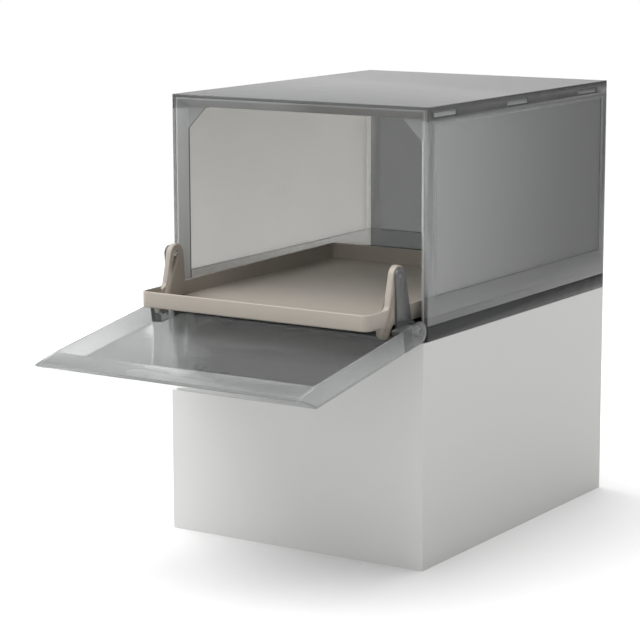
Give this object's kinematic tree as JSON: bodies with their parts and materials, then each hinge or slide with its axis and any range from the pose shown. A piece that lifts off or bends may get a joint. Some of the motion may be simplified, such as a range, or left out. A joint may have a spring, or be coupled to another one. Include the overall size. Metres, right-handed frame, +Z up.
{
  "type": "drop-front shoe box",
  "caption": "translucent smoke-grey stackable shoe box whose front door folds down and slides a shallow shoe tray out on two lever arms",
  "frame": {"origin": "middle of the base's flat underside", "axes": "+X to the right of someone facing the door, +Y from the door to the back, +Z up"},
  "size_m": [0.28, 0.5637, 0.2369],
  "materials": {
    "shell": "translucent smoke-grey moulded plastic, frosted on the side fields",
    "door": "translucent smoke-grey moulded plastic, glossy inside",
    "arm": "translucent smoke-grey moulded plastic",
    "tray": "satin taupe moulded plastic"
  },
  "bodies": {
    "shell": {"base_panel": "shell", "top_panel": "shell", "left_side_panel": "shell", "right_side_panel": "shell", "back_panel": "shell", "front_frame": "shell"},
    "door": {"front_door": "door", "left_door_arm": "arm", "right_door_arm": "arm", "left_hinge_pin": "arm", "right_hinge_pin": "arm", "left_slot_pin": "arm", "right_slot_pin": "arm"},
    "tray": {"shoe_tray": "tray"}
  },
  "joints": [
    {"name": "door_hinge", "type": "hinge", "parent": "shell", "child": "door", "pos_m": [0, -0.1888, 0.0106], "axis": [-1, 0, 0], "range_deg": [0, 99.2]},
    {"name": "tray_slide", "type": "slide", "parent": "shell", "child": "tray", "axis": [0, 1, 0], "range_m": [0, 0.0886]}
  ],
  "couplings": [
    {"joint": "tray_slide", "follows": "door_hinge", "m_per_rad": 0.05117}
  ]
}
